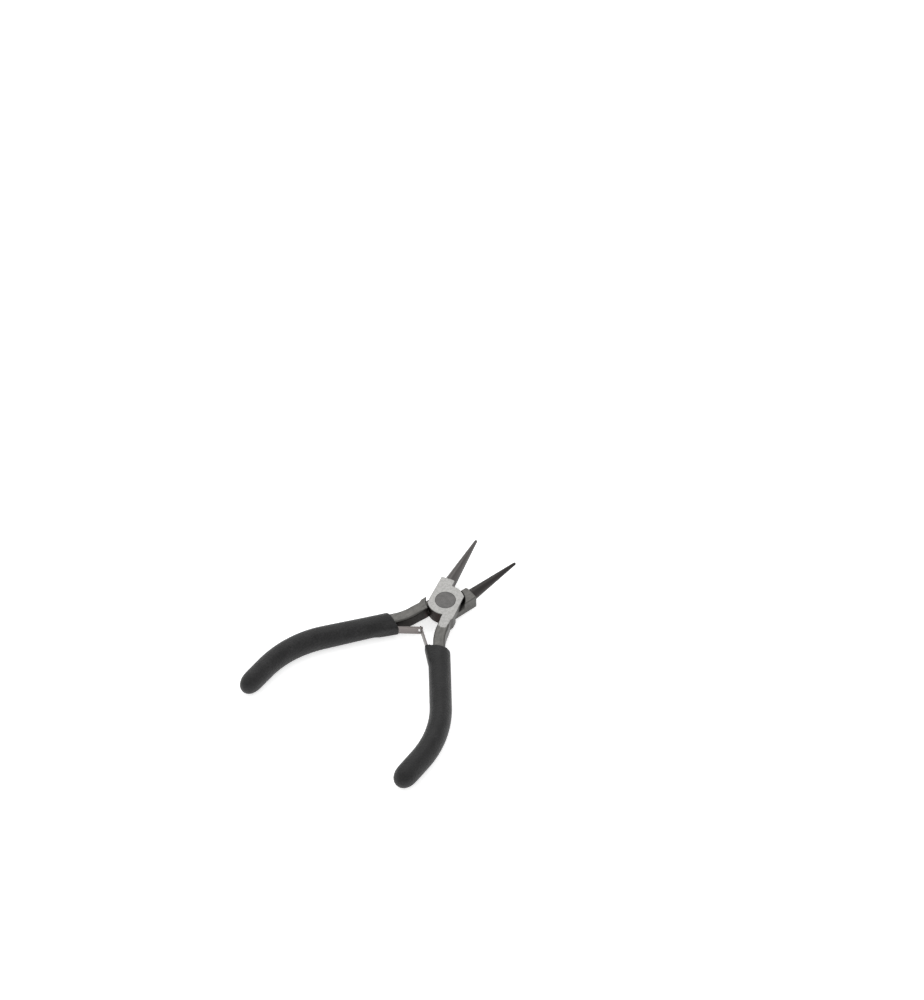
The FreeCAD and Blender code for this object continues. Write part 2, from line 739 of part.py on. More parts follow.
def round_grip_end(body):
    """Rounds the closed end, whose face is the lowest flat one."""
    faces = [face for face in body.Shape.Faces if isinstance(face.Surface, Part.Plane)]
    end_face = min(faces, key=lambda face: face.CenterOfMass.y)
    centre = end_face.CenterOfMass
    normal = end_face.normalAt(0, 0)

    def on_end_face(edge):
        return all(abs((vertex.Point - centre).dot(normal)) < 1e-5 for vertex in edge.Vertexes)

    dress(body, "Fillet", "rounded_end", on_end_face, "grip_end_radius")


def add_flare(body):
    """The sleeve's inner side runs out over the leaf at its mouth. Both grips have the front leaf's flare."""
    out = cell("leaf_thickness") / 2 + cell("leaf_pocket_gap") + cell("flare_wall")
    line, down = side_of_leaf("front", out)
    begin = straight_run_start()
    sketch = new_sketch(body, "flare_outline")
    reach = cell("flare_start")
    corners = [line, line + down * reach, begin + handle_directions()[0] * reach, begin]
    worked_out_outline(sketch, corners)
    pad(body, "flare", sketch, "flare_height")
    document.recompute()


def cut_mouth(body):
    """The front end is cut off along a slanted line."""
    tilt = math.radians(cell("grip_mouth_tilt"))
    middle = FreeCAD.Vector(cell("grip_mouth_x"), -cell("grip_mouth_y"), 0)
    across = FreeCAD.Vector(math.cos(tilt), math.sin(tilt), 0)
    ahead = FreeCAD.Vector(-math.sin(tilt), math.cos(tilt), 0)
    wide = 2 * cell("grip_width")
    corners = [middle - across * wide, middle + across * wide]
    corners += [middle + across * wide + ahead * wide, middle - across * wide + ahead * wide]
    sketch = new_sketch(body, "mouth_outline")
    worked_out_outline(sketch, corners)
    cut(body, "mouth", sketch, "grip_height + grip_height")


def hollow_for_tang(body):
    """The tang's place, a little larger than the tang."""
    before = body.Shape.Volume
    path = new_sketch(body, "hollow_path")
    edges = handle_path(path, False, "tang_end_run")
    section = new_sketch(body, "hollow_section", "XZ_Plane", across_handle())
    sides = ("0 - tang_width / 2 - grip_clearance", "tang_width / 2 + grip_clearance")
    rounded_rectangle(section, *sides, "tang_height / 2 + grip_clearance", "tang_corner_radius")
    document.recompute()
    hollow = body.newObject("PartDesign::SubtractivePipe", "hollow")
    hollow.Profile = section
    hollow.Spine = (path, edges)
    document.recompute()
    if body.Shape.Volume >= before:
        raise RuntimeError("the hollow cuts nothing")


def cut_leaf_pocket(body, side):
    """Room for the leaf's root and its rivet between the tang and the grip's skin."""
    surface, along, inward = tang_inner_side(side)
    gap = cell("leaf_pocket_gap")
    line, down = side_of_leaf(side, cell("leaf_thickness") / 2 + gap)
    depth = cell("leaf_tab_gap") * 2 + cell("leaf_thickness") + cell("leaf_rivet_head_height") + gap
    floor = surface + along * (cell("leaf_tab_length") + gap)
    spread = math.sin(along.getAngle(down))
    reach = cell(f"{side}_leaf_length") - cell("leaf_rivet_head_height") / spread
    corners = [line, line + down * reach, floor + inward * depth, floor - inward, straight_run_start()]
    sketch = new_sketch(body, "pocket_outline")
    worked_out_outline(sketch, corners)
    cut(body, "leaf_pocket", sketch, "leaf_pocket_height")


def make_grip(name, side):
    """A soft sleeve over the tang, closed at its end and flared at its mouth over the leaf's root."""
    body = new_body(name)
    add_sleeve(body)
    round_grip_end(body)
    add_flare(body)
    cut_mouth(body)
    hollow_for_tang(body)
    cut_leaf_pocket(body, side)
    return body


# ---------------------------------------------------------------- placing, checking and writing


def placements():
    half_angle = cell("rest_half_angle")
    middle = FreeCAD.Vector(0, 0, cell("joint_thickness") / 2)
    front = FreeCAD.Placement(middle, FreeCAD.Rotation(FreeCAD.Vector(0, 0, 1), half_angle))
    over = FreeCAD.Rotation(FreeCAD.Vector(0, 1, 0), 180)
    rear = FreeCAD.Placement(middle, FreeCAD.Rotation(FreeCAD.Vector(0, 0, 1), -half_angle).multiply(over))
    return front, rear, FreeCAD.Placement(middle, FreeCAD.Rotation())


def check_document():
    for item in document.Objects:
        for flag in ("Invalid", "Error"):
            if flag in item.State:
                raise RuntimeError(f"{item.Label} is {flag}")


def export(parts):
    os.makedirs("parts", exist_ok=True)
    for item in parts:
        if item.Shape.isNull() or not item.Shape.isValid():
            raise RuntimeError(f"{item.Label} has a bad shape")
        item.Shape.exportStep(f"parts/{item.Label}.step")


def main():
    fill_sheet()
    front, rear, middle = placements()
    front_half = make_half("front_half", "front", "running_clearance")
    rear_half = make_half("rear_half", "rear", "held_clearance")
    pivot_rivet = make_pivot_rivet()
    front_leaf = make_front_leaf()
    rear_leaf = make_rear_leaf()
    front_rivet = make_leaf_rivet("front_spring_rivet")
    rear_rivet = make_leaf_rivet("rear_spring_rivet")
    front_grip = make_grip("front_grip", "front")
    rear_grip = make_grip("rear_grip", "rear")
    document.recompute()
    for item in (front_half, front_leaf, front_grip):
        item.Placement = front
    for item in (rear_half, rear_leaf, rear_grip):
        item.Placement = rear
    pivot_rivet.Placement = middle
    front_rivet.Placement = front.multiply(leaf_rivet_placement("front", 0))
    rear_rivet.Placement = rear.multiply(leaf_rivet_placement("rear", 0))
    document.recompute()
    check_document()
    export(
        [
            front_half,
            rear_half,
            pivot_rivet,
            front_leaf,
            rear_leaf,
            front_rivet,
            rear_rivet,
            front_grip,
            rear_grip,
        ]
    )


main()
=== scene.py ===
import math

import bpy
from mathutils import Matrix, Vector


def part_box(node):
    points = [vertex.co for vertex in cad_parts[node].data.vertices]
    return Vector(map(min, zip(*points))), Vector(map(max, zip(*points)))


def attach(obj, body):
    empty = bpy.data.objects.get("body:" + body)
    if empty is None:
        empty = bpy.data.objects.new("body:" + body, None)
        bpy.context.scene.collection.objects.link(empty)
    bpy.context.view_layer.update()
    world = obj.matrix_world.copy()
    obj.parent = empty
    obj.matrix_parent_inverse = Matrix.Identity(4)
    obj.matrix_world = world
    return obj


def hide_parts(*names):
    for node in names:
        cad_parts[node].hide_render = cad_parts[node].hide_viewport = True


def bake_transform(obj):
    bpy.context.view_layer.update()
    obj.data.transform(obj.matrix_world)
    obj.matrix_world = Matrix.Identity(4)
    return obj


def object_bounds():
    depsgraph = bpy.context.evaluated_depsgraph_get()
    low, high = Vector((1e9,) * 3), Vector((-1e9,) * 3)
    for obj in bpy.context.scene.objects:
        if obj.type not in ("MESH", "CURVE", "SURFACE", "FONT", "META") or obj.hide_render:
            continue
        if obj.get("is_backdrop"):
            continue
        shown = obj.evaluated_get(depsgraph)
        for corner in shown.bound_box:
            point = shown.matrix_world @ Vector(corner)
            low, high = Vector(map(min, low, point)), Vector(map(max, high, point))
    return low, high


bl_info = {
    "name": "Round Nose Pliers",
    "version": (1, 0, 0),
    "blender": (4, 5, 0),
    "location": "View3D > Sidebar > Pliers",
    "description": "Finishes the forged halves and the rivets, and adds grips, leaf springs and a stage",
    "category": "Object",
}

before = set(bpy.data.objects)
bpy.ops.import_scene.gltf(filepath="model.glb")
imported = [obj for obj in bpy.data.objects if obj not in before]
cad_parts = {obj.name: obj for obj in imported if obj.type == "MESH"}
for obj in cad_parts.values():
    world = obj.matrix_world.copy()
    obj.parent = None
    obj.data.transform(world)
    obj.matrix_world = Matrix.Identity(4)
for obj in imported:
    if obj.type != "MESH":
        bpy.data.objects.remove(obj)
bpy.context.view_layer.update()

# Each half is worked on closed, in its own frame: middle of the joint at the origin, jaw on the left of the
# centreline, handle on the right. These put it where it rests, half open. The rear half is turned over.
JOINT_MIDDLE = (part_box("pivot_rivet")[0].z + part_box("pivot_rivet")[1].z) / 2
REST_HALF_ANGLE = math.radians(15.0)
SIDES = ("front", "rear")


# ---------------------------------------------------------------- settings


def length(name, description, metres):
    return bpy.props.FloatProperty(
        name=name, description=description, default=metres, unit="LENGTH", precision=5
    )


def angle(name, description, degrees):
    return bpy.props.FloatProperty(
        name=name, description=description, default=math.radians(degrees), unit="ROTATION"
    )


def factor(name, description, value):
    return bpy.props.FloatProperty(name=name, description=description, default=value, min=0.0)


def colour(name, description, rgb):
    return bpy.props.FloatVectorProperty(
        name=name, description=description, default=rgb, size=3, subtype="COLOR", min=0.0, max=1.0
    )


class HandleSettings(bpy.types.PropertyGroup):
    neck_x: length("Neck", "Centre of the neck from the closed centreline", 0.0037)
    neck_end: length("Neck end", "Distance from the pivot to where the neck starts to bend", 0.012)
    neck_bend: length("Neck bend", "Radius of the bend out of the neck", 0.020)
    splay: angle("Splay", "Angle of the straight run from the closed centreline", 22.95)
    straight: length("Straight run", "Length of the straight run", 0.0289)
    bend: length("Bend", "Radius of the long bend inwards", 0.042)
    end_tilt: angle("End tilt", "Angle by which the end points back inwards", 14.0)
    tang_width: length("Tang width", "Width of the steel inside the grip", 0.0046)
    tang_height: length("Tang height", "Height of the steel inside the grip", 0.0059)
    tang_end: length("Tang end", "How far the steel reaches from the start of the straight run", 0.062)


class GripSettings(bpy.types.PropertyGroup):
    front_reach: length("Front length", "From the start of the straight run to the closed end", 0.0706)
    rear_reach: length("Rear length", "From the start of the straight run to the closed end", 0.0697)
    width: length("Width", "Width across the handle", 0.0087)
    front_end_width: length("Front end width", "Width before the front grip's closed end", 0.0091)
    rear_end_width: length("Rear end width", "Width before the rear grip's closed end", 0.0082)
    front_height: length("Height at the mouth", "Height near the mouth", 0.0080)
    middle_height: length("Height in the middle", "Height at the bend", 0.0096)
    end_height: length("Height at the end", "Height before the closed end", 0.0092)
    end_taper: length("End taper", "Length of the rounded end", 0.0062)
    mouth_outer: length("Mouth", "Where the mouth meets the sleeve's outer side", 0.00302)
    front_slant: angle("Front mouth slant", "Slant of the front grip's mouth", 14.5)
    rear_slant: angle("Rear mouth slant", "Slant of the rear grip's mouth", 17.5)
    front_flare: length("Front flare", "How far the front grip's mouth runs out over its leaf", 0.0009)
    rear_flare: length("Rear flare", "How far the rear grip's mouth runs out over its leaf", 0.0003)
    flare_run: length("Flare run", "Length of the flare", 0.0085)
    skin_step: length("Skin step", "Spacing of the remeshed skin", 0.00034)
    colour: colour("Colour", "Foam skin", (0.0115, 0.0115, 0.0118))


class SpringSettings(bpy.types.PropertyGroup):
    width: length("Width", "Width of the leaf", 0.0040)
    thickness: length("Thickness", "Thickness of the leaf", 0.00055)
    front_angle: angle("Front leaf angle", "Direction to the front leaf's tip, half closed", 126.25)
    rear_angle: angle("Rear leaf angle", "Direction to the rear leaf's tip, half closed", 130.2)
    front_length: length("Front leaf length", "From the root to where the leaves cross", 0.01713)
    rear_length: length("Rear leaf length", "From the root to where the leaves cross", 0.01329)
    cross_x: length("Crossing across", "Where the leaves cross, to the left of the centreline", 0.003988)
    cross_y: length("Crossing down", "Where the leaves cross, below the pivot", 0.014885)
    tab: length("Tab", "Length of the flat that is riveted to the tang", 0.0056)
    colour: colour("Colour", "Spring steel", (0.205, 0.186, 0.180))


class SteelSettings(bpy.types.PropertyGroup):
    ground: colour("Ground face", "Ground face of the joint", (0.262, 0.259, 0.252))
    forging: colour("Forging", "Tumbled grey of the forging", (0.092, 0.090, 0.0855))
    jaw: colour("Jaw", "Dark cone jaw", (0.085, 0.080, 0.078))
    scale: colour("Scale", "Black scale left on the inner walls", (0.019, 0.017, 0.0155))
    rust: colour("Brown scale", "Brown tinge in the scale below the joint", (0.034, 0.021, 0.020))
    rivet: colour("Rivet", "Turned rivet head", (0.094, 0.0915, 0.090))
    bevel: length("Edge softness", "Radius that edges catch the light with", 0.00012)


class StageSettings(bpy.types.PropertyGroup):
    azimuth: angle("Azimuth", "Camera's direction round the pliers", 36.63)
    elevation: angle("Elevation", "Camera's height above the horizon", 51.1)
    distance: length("Distance", "Camera's distance from what it looks at", 3.623)
    look_x: length("Look at X", "Point in the middle of the view", -0.02577)
    look_y: length("Look at Y", "Point in the middle of the view", 0.04531)
    view_height: length("View height", "Height of the view at that distance", 0.387)
    floor: colour("Floor", "Plain pale floor", (0.93, 0.93, 0.93))
    glow: factor("Floor glow", "Light that comes up through the floor", 0.53)
    sky: factor("Sky", "Strength of the light from all round", 0.95)
    key: factor("Key", "Strength of the large soft light, in watts", 6.0)


class PliersSettings(bpy.types.PropertyGroup):
    handle: bpy.props.PointerProperty(type=HandleSettings)
    grip: bpy.props.PointerProperty(type=GripSettings)
    spring: bpy.props.PointerProperty(type=SpringSettings)
    steel: bpy.props.PointerProperty(type=SteelSettings)
    stage: bpy.props.PointerProperty(type=StageSettings)


# ---------------------------------------------------------------- modelling helpers


def rest_matrix(side):
    """From a half's closed frame to where the half rests."""
    middle = Matrix.Translation((0, 0, JOINT_MIDDLE))
    if side == "front":
        return middle @ Matrix.Rotation(REST_HALF_ANGLE, 4, "Z")
    return middle @ Matrix.Rotation(-REST_HALF_ANGLE, 4, "Z") @ Matrix.Rotation(math.pi, 4, "Y")


def object_mode():
    if bpy.context.mode != "OBJECT":
        bpy.ops.object.mode_set(mode="OBJECT")


def only(piece):
    """Selects this object alone and makes it active."""
    object_mode()
    bpy.ops.object.select_all(action="DESELECT")
    piece.select_set(True)
    bpy.context.view_layer.objects.active = piece


def select_faces(piece, wanted):
    """In edit mode, selects the faces that wanted(face) picks."""
    bpy.ops.object.mode_set(mode="EDIT")
    bpy.ops.mesh.select_mode(type="FACE")
    bpy.ops.mesh.select_all(action="DESELECT")
    bpy.ops.object.mode_set(mode="OBJECT")
    found = 0
    for face in piece.data.polygons:
        face.select = bool(wanted(face))
        found += face.select
    if not found:
        raise RuntimeError(f"{piece.name}: no face was found to work on")
    bpy.ops.object.mode_set(mode="EDIT")


def select_edges(piece, wanted):
    """In edit mode, selects the edges that wanted(first end, other end) picks."""
    bpy.ops.object.mode_set(mode="EDIT")
    bpy.ops.mesh.select_mode(type="EDGE")
    bpy.ops.mesh.select_all(action="DESELECT")
    bpy.ops.object.mode_set(mode="OBJECT")
    corners = piece.data.vertices
    for edge in piece.data.edges:
        edge.select = bool(wanted(corners[edge.vertices[0]].co, corners[edge.vertices[1]].co))
    bpy.ops.object.mode_set(mode="EDIT")


def box_between(name, low, high):
    """A cube primitive between two corners, with its place in its mesh."""
    object_mode()
    bpy.ops.object.select_all(action="DESELECT")
    middle = (Vector(low) + Vector(high)) / 2
    bpy.ops.mesh.primitive_cube_add(size=1, location=middle)
    piece = bpy.context.active_object
    piece.name = name
    piece.scale = Vector(high) - Vector(low)
    bpy.ops.object.transform_apply(location=True, rotation=True, scale=True)
    return piece


def extrude(offset):
    bpy.ops.mesh.extrude_region_move(TRANSFORM_OT_translate={"value": offset})


def lengthen(offset, steps):
    """Extrudes the selected faces by offset, in equal steps."""
    for _ in range(steps):
        extrude(Vector(offset) / steps)


def use(piece, kind, **settings):
    """Adds a modifier and applies it."""
    only(piece)
    modifier = piece.modifiers.new(kind.title(), kind)
    for name, value in settings.items():
        setattr(modifier, name, value)
    bpy.ops.object.modifier_apply(modifier=modifier.name)


def combine(piece, other, operation):
    """Joins other to the piece, or takes it away, and removes it."""
    use(piece, "BOOLEAN", operation=operation, object=other, solver="EXACT")
    bpy.data.objects.remove(other)


def settle(piece, side):
    """Moves a piece from its half's closed frame to where it rests, and leaves the place in its mesh."""
    only(piece)
    piece.matrix_world = rest_matrix(side) @ piece.matrix_world
    bpy.ops.object.transform_apply(location=True, rotation=True, scale=True)


def dress(piece, material):
    piece.data.materials.clear()
    piece.data.materials.append(material)


# ---------------------------------------------------------------- material helpers


def connect(tree, socket, value):
    """Links an output socket to an input, or sets the input's own value."""
    if isinstance(value, bpy.types.NodeSocket):
        tree.links.new(value, socket)
    elif hasattr(value, "__len__") and len(value) == 3 and len(socket.default_value) == 4:
        socket.default_value = (*value, 1.0)
    else:
        socket.default_value = value


def add_node(tree, kind, inputs=None, **settings):
    """A node with its settings, and its inputs linked or set by name or number."""
    node = tree.nodes.new(kind)
    for name, value in settings.items():
        setattr(node, name, value)
    for name, value in (inputs or {}).items():
        connect(tree, node.inputs[name], value)
    return node


def calculate(tree, operation, first, second=0.0):
    inputs = {0: first, 1: second}
    return add_node(tree, "ShaderNodeMath", inputs, operation=operation).outputs[0]


def multiply(tree, first, second):
    return calculate(tree, "MULTIPLY", first, second)


def plus(tree, first, second):
    return calculate(tree, "ADD", first, second)


def ramp(tree, value, low, high, to_low=0.0, to_high=1.0):
    """A smooth step from to_low to to_high while value goes from low to high."""
    inputs = {"Value": value, "From Min": low, "From Max": high, "To Min": to_low, "To Max": to_high}
    return add_node(tree, "ShaderNodeMapRange", inputs, interpolation_type="SMOOTHSTEP").outputs[0]


def mix(tree, share, first, second):
    """A colour between two, by share."""
    node = add_node(tree, "ShaderNodeMix", data_type="RGBA")
    connect(tree, node.inputs[0], share)
    connect(tree, node.inputs[6], first)
    connect(tree, node.inputs[7], second)
    return node.outputs[2]


def shade(tree, tone, by):
    """A colour made lighter or darker by a number round 1."""
    scaled = add_node(tree, "ShaderNodeVectorMath", {0: tone}, operation="SCALE")
    connect(tree, scaled.inputs["Scale"], by)
    return scaled.outputs[0]


def noise(tree, vector, scale, detail=3.0, roughness=0.55):
    inputs = {"Vector": vector, "Scale": scale, "Detail": detail, "Roughness": roughness}
    return add_node(tree, "ShaderNodeTexNoise", inputs).outputs[0]


def new_group(name, inputs, outputs):
    """An empty shader node group with named sockets. Returns it with its input and output nodes."""
    group = bpy.data.node_groups.new(name, "ShaderNodeTree")
    for label, kind, default in inputs:
        socket = group.interface.new_socket(label, in_out="INPUT", socket_type=kind)
        if default is not None:
            socket.default_value = default
    for label, kind in outputs:
        group.interface.new_socket(label, in_out="OUTPUT", socket_type=kind)
    return group, group.nodes.new("NodeGroupInput"), group.nodes.new("NodeGroupOutput")


def grain_group():
    """Fine scratches that run along Y, with a broader streak under them."""
    if "Brushed grain" in bpy.data.node_groups:
        return bpy.data.node_groups["Brushed grain"]
    inputs = [
        ("Vector", "NodeSocketVector", None),
        ("Fineness", "NodeSocketFloat", 9.0),
        ("Stretch", "NodeSocketFloat", 0.08),
    ]
    group, entry, leave = new_group(
        "Brushed grain", inputs, [("Shade", "NodeSocketFloat"), ("Height", "NodeSocketFloat")]
    )
    direction = add_node(group, "ShaderNodeCombineXYZ", {0: 1.0, 1: entry.outputs["Stretch"], 2: 1.0})
    factors = {0: entry.outputs["Vector"], 1: direction.outputs[0]}
    drawn_out = add_node(group, "ShaderNodeVectorMath", factors, operation="MULTIPLY").outputs[0]
    scratches = noise(group, drawn_out, entry.outputs["Fineness"], 4.0, 0.65)
    streaks = noise(group, drawn_out, multiply(group, entry.outputs["Fineness"], 0.17), 2.0)
    both = plus(group, multiply(group, scratches, 0.45), multiply(group, streaks, 0.55))
    connect(group, leave.inputs["Shade"], both)
    connect(group, leave.inputs["Height"], scratches)
    return group


def mottle_group():
    """Soft patches with small specks in them."""
    if "Mottle" in bpy.data.node_groups:
        return bpy.data.node_groups["Mottle"]
    inputs = [("Vector", "NodeSocketVector", None), ("Size", "NodeSocketFloat", 1.0)]
    outputs = [("Patches", "NodeSocketFloat"), ("Specks", "NodeSocketFloat")]
    group, entry, leave = new_group("Mottle", inputs, outputs)
    often = calculate(group, "DIVIDE", 1.0, entry.outputs["Size"])
    patches = noise(group, entry.outputs["Vector"], often, 3.0, 0.6)
    specks = noise(group, entry.outputs["Vector"], multiply(group, often, 4.5), 2.0, 0.5)
    connect(group, leave.inputs["Patches"], ramp(group, patches, 0.3, 0.7))
    connect(group, leave.inputs["Specks"], ramp(group, specks, 0.35, 0.65))
    return group


def use_group(tree, group, inputs):
    node = tree.nodes.new("ShaderNodeGroup")
    node.node_tree = group
    for name, value in inputs.items():
        connect(tree, node.inputs[name], value)
    return node.outputs


def new_material(name):
    """A new material, as the material, its node tree and its Principled shader."""
    material = bpy.data.materials.new(name)
    material.use_nodes = True
    tree = material.node_tree
    tree.nodes.clear()
    surface = tree.nodes.new("ShaderNodeBsdfPrincipled")
    output = tree.nodes.new("ShaderNodeOutputMaterial")
    tree.links.new(surface.outputs[0], output.inputs[0])
    return material, tree, surface


def millimetres(tree, side=None):
    """Object coordinates in millimetres, turned into the closed frame of a half if a side is given."""
    place = tree.nodes.new("ShaderNodeTexCoord").outputs["Object"]
    mapping = add_node(tree, "ShaderNodeMapping", {"Vector": place, "Scale": (1000.0, 1000.0, 1000.0)})
    down = -1000.0 * JOINT_MIDDLE
    if side == "front":
        connect(tree, mapping.inputs["Rotation"], (0.0, 0.0, -REST_HALF_ANGLE))
        connect(tree, mapping.inputs["Location"], (0.0, 0.0, down))
    if side == "rear":
        connect(tree, mapping.inputs["Rotation"], (0.0, math.pi, -REST_HALF_ANGLE))
        connect(tree, mapping.inputs["Location"], (0.0, 0.0, -down))
    return mapping.outputs[0]


def facing(tree, side):
    """The surface's own direction in the closed frame of a half, as x, y and z."""
    own = tree.nodes.new("ShaderNodeTexCoord").outputs["Normal"]
    turn = (0.0, 0.0, -REST_HALF_ANGLE) if side == "front" else (0.0, math.pi, -REST_HALF_ANGLE)
    turned = add_node(tree, "ShaderNodeMapping", {"Vector": own, "Rotation": turn}, vector_type="NORMAL")
    return add_node(tree, "ShaderNodeSeparateXYZ", {0: turned.outputs[0]}).outputs


def bump(tree, height, strength, distance, normal=None):
    inputs = {"Height": height, "Strength": strength, "Distance": distance}
    if normal is not None:
        inputs["Normal"] = normal
    return add_node(tree, "ShaderNodeBump", inputs).outputs[0]


# ---------------------------------------------------------------- materials


def forged_steel(steel, side):
    """The forging: ground joint face, grey tumbled sides, black inner walls and a dark cone jaw."""
    material, tree, surface = new_material(f"forged_steel_{side}")
    place = millimetres(tree, side)
    x, y, z = add_node(tree, "ShaderNodeSeparateXYZ", {0: place}).outputs
    nx, ny, nz = facing(tree, side)
    grain = use_group(tree, grain_group(), {"Vector": place, "Fineness": 7.0, "Stretch": 0.12})
    mottle = use_group(tree, mottle_group(), {"Vector": place, "Size": 1.1})
    wander = multiply(tree, calculate(tree, "SUBTRACT", mottle["Patches"], 0.5), 0.5)

    # ground face: on top, up to a curved line across the neck and a line along its outer edge
    on_top = multiply(tree, ramp(tree, nz, 0.55, 0.8), ramp(tree, z, 2.7, 2.8))
    from_middle = calculate(tree, "SUBTRACT", x, 3.1)
    curve = multiply(tree, multiply(tree, from_middle, from_middle), -0.05)
    neck_line = plus(tree, plus(tree, y, curve), wander)
    above_line = ramp(tree, neck_line, -12.9, -12.3)
    past_corner = calculate(tree, "MAXIMUM", calculate(tree, "SUBTRACT", -7.2, y), 0.0)
    outer_line = plus(tree, x, multiply(tree, past_corner, 0.28))
    inside_edge = ramp(tree, plus(tree, outer_line, wander), 6.4, 6.0)
    before_jaw = ramp(tree, y, 10.34, 10.3)
    ground = multiply(tree, multiply(tree, on_top, above_line), inside_edge)
    ground = multiply(tree, ground, before_jaw)

    # black scale: the walls that face inwards
    upright = ramp(tree, calculate(tree, "ABSOLUTE", nz), 0.5, 0.3)
    inward = calculate(tree, "SUBTRACT", multiply(tree, nx, -0.85), multiply(tree, ny, 0.5))
    below_pivot = ramp(tree, y, 1.0, -1.0)
    scale = multiply(tree, multiply(tree, upright, ramp(tree, inward, 0.2, 0.5)), below_pivot)
    reddish = multiply(tree, ramp(tree, y, -9.2, -8.6), ramp(tree, mottle["Patches"], 0.2, 0.7))
    scale_tone = mix(tree, reddish, steel.scale, steel.rust)
    closing = multiply(tree, ramp(tree, nx, 0.8, 0.95), ramp(tree, x, 0.4, 0.1))
    scale = calculate(tree, "MAXIMUM", scale, closing)

    jaw = ramp(tree, y, 10.3, 10.36)

    grained = plus(tree, multiply(tree, grain["Shade"], 1.3), 0.35)
    tumbled = ramp(tree, mottle["Specks"], 0.0, 1.0, 0.88, 1.12)
    forging = shade(tree, steel.forging, multiply(tree, grained, tumbled))
    # painted light on the cone jaw: darker on its sides, a painted highlight where it faces partly up, a
    # little less of it on the very top
    jaw_painted_light = multiply(tree, ramp(tree, nz, 0.1, 0.6, 0.5, 1.35), ramp(tree, nz, 0.8, 1.0, 1.0, 0.75))
    drawn = plus(tree, multiply(tree, grain["Shade"], 0.6), 0.7)
    jaw_tone = shade(tree, steel.jaw, multiply(tree, jaw_painted_light, drawn))
    ground_tone = shade(tree, steel.ground, ramp(tree, mottle["Patches"], 0.0, 1.0, 0.84, 1.14))
    specked = shade(tree, ground_tone, ramp(tree, mottle["Specks"], 0.5, 1.0, 1.03, 0.90))
    tone = mix(tree, scale, forging, scale_tone)
    tone = mix(tree, jaw, tone, jaw_tone)
    tone = mix(tree, ground, tone, specked)
    connect(tree, surface.inputs["Base Color"], tone)
    surface.inputs["Metallic"].default_value = 1.0
    rough = plus(tree, multiply(tree, mottle["Patches"], 0.08), 0.40)
    rough = calculate(tree, "SUBTRACT", rough, multiply(tree, jaw, 0.06))
    connect(tree, surface.inputs["Roughness"], rough)
    soft_edges = add_node(tree, "ShaderNodeBevel", {"Radius": steel.bevel}, samples=4).outputs[0]
    height = plus(tree, multiply(tree, grain["Height"], 0.6), multiply(tree, mottle["Specks"], 0.4))
    connect(tree, surface.inputs["Normal"], bump(tree, height, 0.25, 0.00004, soft_edges))
    return material


def turned_steel(steel):
    """The rivet: faint rings round its axis, and a painted shadow line round the edge of its head."""
    material, tree, surface = new_material("turned_steel")
    place = millimetres(tree)
    x, y, _ = add_node(tree, "ShaderNodeSeparateXYZ", {0: place}).outputs
    radius = calculate(tree, "SQRT", plus(tree, multiply(tree, x, x), multiply(tree, y, y)))
    mottle = use_group(tree, mottle_group(), {"Vector": place, "Size": 1.3})
    wave = calculate(tree, "SINE", multiply(tree, radius, 9.5))
    fine = calculate(tree, "SINE", multiply(tree, radius, 41.0))
    rings = plus(tree, multiply(tree, wave, 0.6), multiply(tree, fine, 0.4))
    # painted shadow: a darker line round the edge of the rivet head
    rim_painted_shadow = ramp(tree, radius, 3.72, 3.86, 1.0, 0.55)
    level = plus(tree, multiply(tree, rings, 0.10), ramp(tree, mottle["Patches"], 0.0, 1.0, 0.92, 1.08))
    connect(tree, surface.inputs["Base Color"], shade(tree, steel.rivet, multiply(tree, level, rim_painted_shadow)))
    surface.inputs["Metallic"].default_value = 1.0
    surface.inputs["Roughness"].default_value = 0.42
    connect(tree, surface.inputs["Normal"], bump(tree, rings, 0.3, 0.00003))
    return material


def spring_steel(spring, side):
    """Rolled strip, brushed along its length."""
    material, tree, surface = new_material(f"spring_steel_{side}")
    place = millimetres(tree, side)
    turn = spring.front_angle if side == "front" else spring.rear_angle
    along = add_node(tree, "ShaderNodeMapping", {"Vector": place, "Rotation": (0.0, 0.0, math.pi / 2 - turn)})
    grain = use_group(tree, grain_group(), {"Vector": along.outputs[0], "Fineness": 8.0, "Stretch": 0.1})
    level = plus(tree, multiply(tree, grain["Shade"], 0.5), 0.75)
    flatness = calculate(tree, "ABSOLUTE", facing(tree, side)[2])
    level = multiply(tree, level, ramp(tree, flatness, 0.5, 0.8, 1.0, 0.5))
    connect(tree, surface.inputs["Base Color"], shade(tree, spring.colour, level))
    surface.inputs["Metallic"].default_value = 1.0
    surface.inputs["Roughness"].default_value = 0.36
    connect(tree, surface.inputs["Normal"], bump(tree, grain["Height"], 0.2, 0.00003))
    return material


def foam_skin(grip):
    """Matt black foam with a fine pebbled skin."""
    material, tree, surface = new_material("foam_skin")
    place = millimetres(tree)
    cells = add_node(tree, "ShaderNodeTexVoronoi", {"Vector": place, "Scale": 1.15}).outputs["Distance"]
    fine = noise(tree, place, 1.7, 4.0, 0.65)
    broad = noise(tree, place, 0.22, 2.0, 0.5)
    pebbles = calculate(tree, "SUBTRACT", fine, multiply(tree, cells, 0.5))
    speckle = ramp(tree, fine, 0.3, 0.7, 0.45, 1.6)
    level = multiply(tree, speckle, ramp(tree, broad, 0.3, 0.7, 0.8, 1.25))
    connect(tree, surface.inputs["Base Color"], shade(tree, grip.colour, level))
    connect(tree, surface.inputs["Roughness"], ramp(tree, fine, 0.3, 0.7, 0.44, 0.62))
    surface.inputs["Sheen Weight"].default_value = 0.05
    surface.inputs["Sheen Roughness"].default_value = 0.5
    surface.inputs["Specular IOR Level"].default_value = 0.25
    connect(tree, surface.inputs["Normal"], bump(tree, pebbles, 0.6, 0.00030))
    return material


